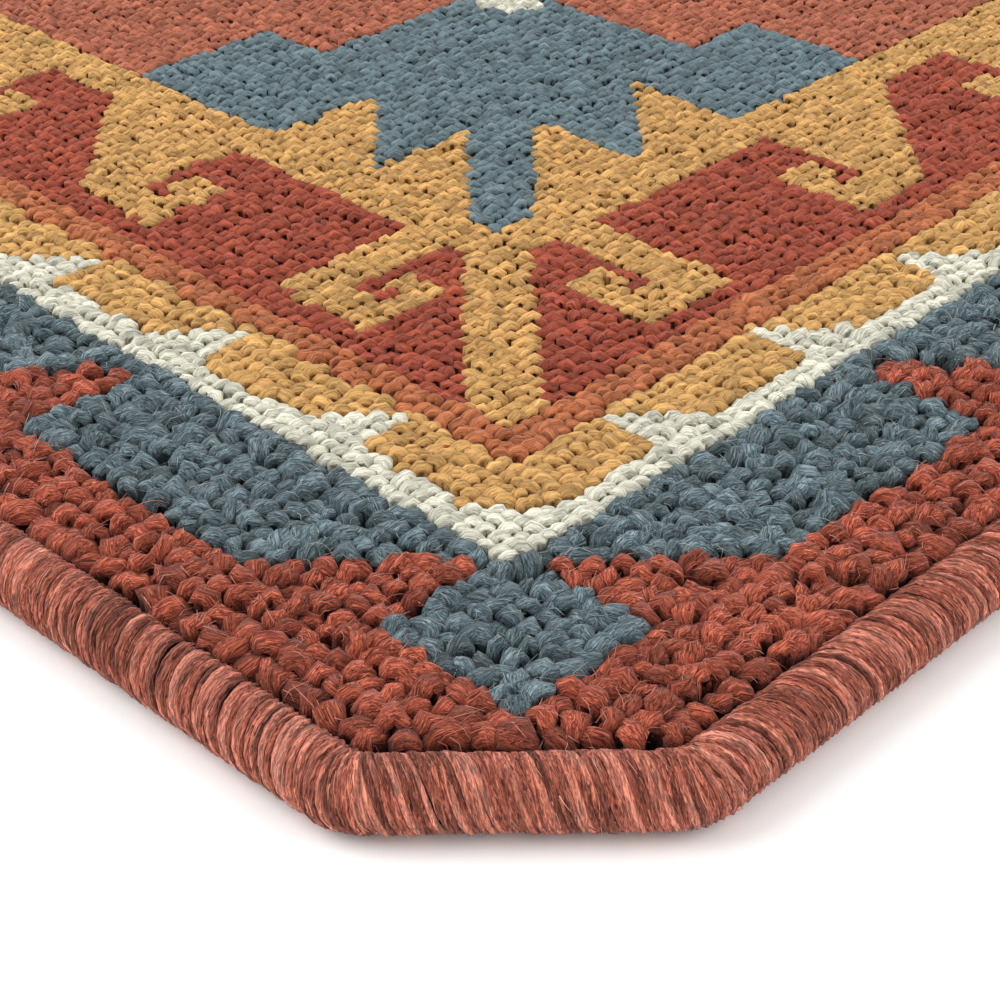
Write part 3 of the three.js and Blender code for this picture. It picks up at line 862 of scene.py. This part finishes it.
def makeSheet(name, look):
    lowCorner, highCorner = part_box(name)
    inset = high.x - highCorner.x
    columns = round(2 * highCorner.x / look["cell"])
    rows = round(2 * highCorner.y / look["cell"])
    x, y = np.meshgrid(np.linspace(-1, 1, columns + 1) * highCorner.x,
                       np.linspace(-1, 1, rows + 1) * highCorner.y, indexing="ij")
    # the corners are drawn in to the cut, each along its own row
    leg = rug["cornerCut"] - inset * (2 - math.sqrt(2))
    over = (np.abs(x) + np.abs(y) - (highCorner.x + highCorner.y - leg)).clip(0, None)
    x = x - np.sign(x) * over / 2
    y = y - np.sign(y) * over / 2
    checker = (np.add.outer(np.arange(columns + 1), np.arange(rows + 1)) % 2) * 2 - 1
    inside = np.zeros_like(x)
    inside[1:-1, 1:-1] = 1
    thick = highCorner.z - lowCorner.z
    bottom = lowCorner.z + look["weave"] * (1 + checker) * inside
    top = highCorner.z - look["weave"] * (1 - checker) * inside
    count = x.size
    index = np.arange(count).reshape(x.shape)
    upper = np.stack([index[:-1, :-1], index[1:, :-1], index[1:, 1:], index[:-1, 1:]], -1).reshape(-1, 4)
    rim = np.concatenate([index[:-1, 0], index[-1, :-1], index[:0:-1, -1], index[0, :0:-1]])
    after = np.roll(rim, -1)
    walls = np.stack([rim + count, after + count, after, rim], -1)
    faces = np.concatenate([upper, upper[:, ::-1] + count, walls])
    points = np.concatenate([np.stack([x, y, top], -1).reshape(-1, 3),
                             np.stack([x, y, bottom], -1).reshape(-1, 3)])
    mesh = bpy.data.meshes.new(name)
    mesh.from_pydata(points.tolist(), [], faces.tolist())
    mesh.polygons.foreach_set("use_smooth", np.ones(len(faces), bool))
    mesh.update()
    made = bpy.data.objects.new(name + "_cloth", mesh)
    bpy.context.scene.collection.objects.link(made)
    finishPiece(made, look["slot"], name)
    print(name, "cloth:", len(faces), "faces,", round(thick / mm, 1), "mm")


for name, look in sheets.items():
    makeSheet(name, look)
nodes["latex_coat"].data.materials.clear()
nodes["latex_coat"].data.materials.append(materialFor("latex"))


studio = {
    "floorTone": (0.98, 0.98, 0.98, 1),
    "worldTone": (1.0, 0.99, 0.97, 1),
    "worldStrength": 0.86,
    "floorReach": 30,
    "floorDrop": 0.1 * mm,
    "floorRoughness": 0.9,
    "floorSpecular": 0.1,
    "lamps": {
        "key": {"from": (-1.2, -0.9, 1.3), "size": 1.8, "power": 27},
        "fill": {"from": (1.3, 0.8, 1.0), "size": 1.8, "power": 14},
    },
    "cameraOut": (0.1334, 0.1477, 0.2074),      # outside the long side, outside the short end, up
    "cameraTilt": (56.53, 43.31, 0.477),        # pitch, heading and roll in degrees
    "lens": 79.2,
    "sensor": 36,
    "nearest": 10 * mm,
}


def makeStudio():
    mesh = bpy.data.meshes.new("studio_floor")
    reach = studio["floorReach"]
    corners = [(-reach, -reach, 0), (reach, -reach, 0), (reach, reach, 0), (-reach, reach, 0)]
    mesh.from_pydata(corners, [], [(0, 1, 2, 3)])
    floor = bpy.data.objects.new("studio_floor", mesh)
    floor.location.z = low.z - studio["floorDrop"]
    bpy.context.scene.collection.objects.link(floor)
    made, _, shader = newMaterial("studio_floor")
    shader.inputs["Base Color"].default_value = studio["floorTone"]
    shader.inputs["Roughness"].default_value = studio["floorRoughness"]
    shader.inputs["Specular IOR Level"].default_value = studio["floorSpecular"]
    mesh.materials.append(made)

    world = bpy.data.worlds.new("studio")
    world.use_nodes = True
    back = world.node_tree.nodes["Background"]
    back.inputs["Color"].default_value = studio["worldTone"]
    back.inputs["Strength"].default_value = studio["worldStrength"]
    bpy.context.scene.world = world

    corner = Vector((high.x, low.y, low.z))
    for name, lamp in studio["lamps"].items():
        data = bpy.data.lights.new(name, "AREA")
        data.shape = "DISK"
        data.size = lamp["size"]
        data.energy = lamp["power"]
        thing = bpy.data.objects.new(name, data)
        thing.location = corner + Vector(lamp["from"])
        thing.rotation_euler = (corner - thing.location).to_track_quat("-Z", "Y").to_euler()
        bpy.context.scene.collection.objects.link(thing)


def makeCamera():
    out, back, up = studio["cameraOut"]
    pitch, heading, roll = (math.radians(a) for a in studio["cameraTilt"])
    data = bpy.data.cameras.new("camera")
    data.lens = studio["lens"]
    data.sensor_width = studio["sensor"]
    data.clip_start = studio["nearest"]
    camera = bpy.data.objects.new("camera", data)
    turned = Euler((pitch, 0, heading)).to_matrix() @ Matrix.Rotation(roll, 3, "Z")
    camera.location = Vector((high.x + out, low.y - back, low.z + up))
    camera.rotation_euler = turned.to_euler()
    bpy.context.scene.collection.objects.link(camera)
    bpy.context.scene.camera = camera


makeStudio()
makeCamera()
bpy.context.scene.view_settings.view_transform = "Standard"
